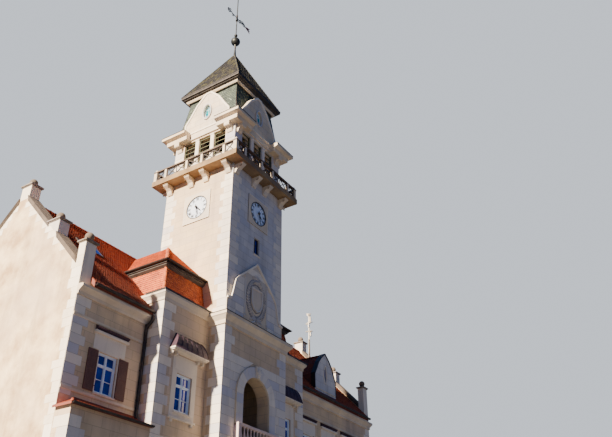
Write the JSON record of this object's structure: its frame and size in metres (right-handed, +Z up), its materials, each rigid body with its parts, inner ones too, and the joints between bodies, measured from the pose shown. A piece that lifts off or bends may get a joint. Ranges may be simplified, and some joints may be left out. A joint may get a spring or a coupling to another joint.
{
  "type": "town hall building, 1:2 scale model",
  "caption": "Town hall with a central clock tower, arched loggia, belfry gallery, slate spire with weathervane, tiled roofs and stepped gables, as a half-size model.",
  "frame": {"origin": "on the tower's axis at ground level, on the underside of the ground slab", "axes": "+X along the street front, +Y from the street into the building, +Z up"},
  "size_m": [16.035, 8.3, 25.8408],
  "materials": {
    "stone_dressing": "matt dressed sandstone",
    "render": "matt lime render and ashlar on masonry",
    "party_wall": "matt plain render",
    "floor": "matt screed",
    "tiles": "matt fired roof tiles",
    "slate": "matt roof slate",
    "dark_eave": "satin dark painted boards and sheet",
    "hood_metal": "satin dark brown sheet metal",
    "gutter_metal": "satin dark sheet metal",
    "window_paint": "white painted joinery",
    "glass": "clear window glass",
    "shutter_paint": "brown painted louvred wood",
    "louvre_paint": "weathered green grey paint",
    "door_wood": "brown oiled oak",
    "dial": "white enamelled sheet",
    "hands": "black painted metal",
    "railing": "dark painted iron",
    "copper": "weathered dark metal",
    "rail_paint": "brown painted handrail"
  },
  "bodies": {
    "building": {"tower_end_walls": "render", "tower_side_walls": "render", "tower_base_cornice": "stone_dressing", "floors": "floor", "loggia_surround": "stone_dressing", "loggia_balustrade": "stone_dressing", "portal_door": "door_wood", "shaft_end_walls": "render", "shaft_side_walls": "render", "shaft_panels": "stone_dressing", "clock_dials": "dial", "balcony_slab": "stone_dressing", "balcony_corbels": "stone_dressing", "balcony_posts": "stone_dressing", "balcony_railing": "railing", "balcony_rail": "rail_paint", "belfry_end_walls": "render", "belfry_side_walls": "render", "belfry_louvres": "louvre_paint", "belfry_cornices": "stone_dressing", "belfry_frieze": "stone_dressing", "belfry_gables": "render", "steep_roof": "slate", "spire_eave": "dark_eave", "spire_roof": "slate", "finial": "copper", "risalit_front_walls": "render", "return_walls": "render", "wing_front_walls": "render", "lower_front_walls": "render", "rear_wall": "render", "gable_walls": "party_wall", "front_roofs": "tiles", "rear_roof": "tiles", "saddle_roof": "tiles", "risalit_mansards": "tiles", "risalit_eaves": "dark_eave", "risalit_hips": "tiles", "pent_roofs": "tiles", "wall_cornices": "stone_dressing", "gutters": "gutter_metal", "window_frames": "window_paint", "window_panes": "glass", "window_sills": "stone_dressing", "shutters": "shutter_paint", "window_hoods": "hood_metal", "gable_tops": "stone_dressing", "dormer_front": "stone_dressing", "dormer_roof": "tiles", "roof_fittings": "gutter_metal", "still_clock_hands": "hands"},
    "vane": {"weathervane": "copper"},
    "front_minute": {"front_minute_hand": "hands"},
    "front_hour": {"front_hour_hand": "hands"},
    "left_minute": {"left_minute_hand": "hands"},
    "left_hour": {"left_hour_hand": "hands"}
  },
  "joints": [
    {"name": "vane_turn", "type": "hinge", "parent": "building", "child": "vane", "pos_m": [0, 0, 24.43], "axis": [0, 0, 1], "continuous": true},
    {"name": "front_minute_turn", "type": "hinge", "parent": "building", "child": "front_minute", "pos_m": [0, -1.51, 13.47], "axis": [0, 1, 0], "continuous": true},
    {"name": "front_hour_turn", "type": "hinge", "parent": "building", "child": "front_hour", "pos_m": [0, -1.51, 13.47], "axis": [0, 1, 0], "continuous": true},
    {"name": "left_minute_turn", "type": "hinge", "parent": "building", "child": "left_minute", "pos_m": [-1.51, 0, 13.47], "axis": [1, 0, 0], "continuous": true},
    {"name": "left_hour_turn", "type": "hinge", "parent": "building", "child": "left_hour", "pos_m": [-1.51, 0, 13.47], "axis": [1, 0, 0], "continuous": true}
  ],
  "couplings": [
    {"joint": "front_hour_turn", "follows": "front_minute_turn", "ratio": 0.083333},
    {"joint": "left_minute_turn", "follows": "front_minute_turn", "ratio": 1},
    {"joint": "left_hour_turn", "follows": "front_minute_turn", "ratio": 0.083333}
  ]
}
